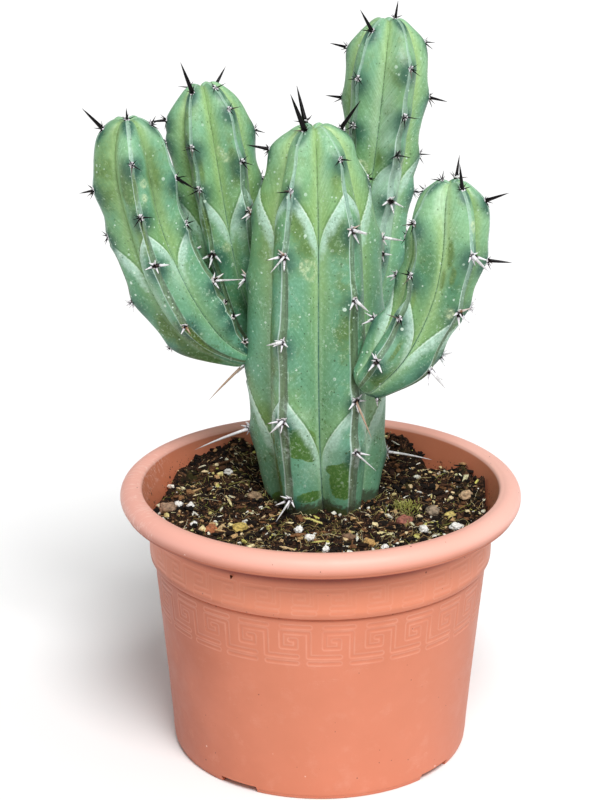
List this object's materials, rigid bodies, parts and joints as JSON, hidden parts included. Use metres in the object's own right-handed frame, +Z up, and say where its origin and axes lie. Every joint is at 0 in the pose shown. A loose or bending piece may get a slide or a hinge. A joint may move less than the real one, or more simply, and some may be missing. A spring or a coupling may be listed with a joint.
{
  "type": "potted cactus",
  "caption": "Tall ribbed cactus with upright side stems and spines, planted in gritty soil in a round terracotta-coloured plastic pot with a rolled rim and key-pattern bands.",
  "frame": {"origin": "under the middle of the whole object's box, on the surface it stands on", "axes": "+Z up along the plant, -Y towards the front, +X to the viewer's right"},
  "size_m": [0.2816, 0.26, 0.4786],
  "materials": {
    "terracotta_plastic": "moulded terracotta-orange plastic with a satin, slightly dusty surface",
    "potting_soil": "damp dark brown potting mix with root fibre and crumbs, fully rough",
    "cactus_skin": "waxy blue-green plant skin with a pale bloom, scars and dark spines",
    "perlite": "chalky white expanded grains",
    "gravel": "dull brown and tan pebbles"
  },
  "bodies": {
    "root": {"pot": "terracotta_plastic", "potting_soil": "potting_soil", "main_stem": "cactus_skin", "left_branch": "cactus_skin", "rear_left_branch": "cactus_skin", "tall_branch": "cactus_skin", "right_branch": "cactus_skin", "perlite_1": "perlite", "perlite_2": "perlite", "perlite_3": "perlite", "perlite_4": "perlite", "perlite_5": "perlite", "perlite_6": "perlite", "perlite_7": "perlite", "perlite_8": "perlite", "perlite_9": "perlite", "perlite_10": "perlite", "stone_1": "gravel", "stone_2": "gravel", "stone_3": "gravel", "stone_4": "gravel", "stone_5": "gravel", "stone_6": "gravel", "stone_7": "gravel", "stone_8": "gravel", "stone_9": "gravel", "stone_10": "gravel"}
  },
  "joints": []
}
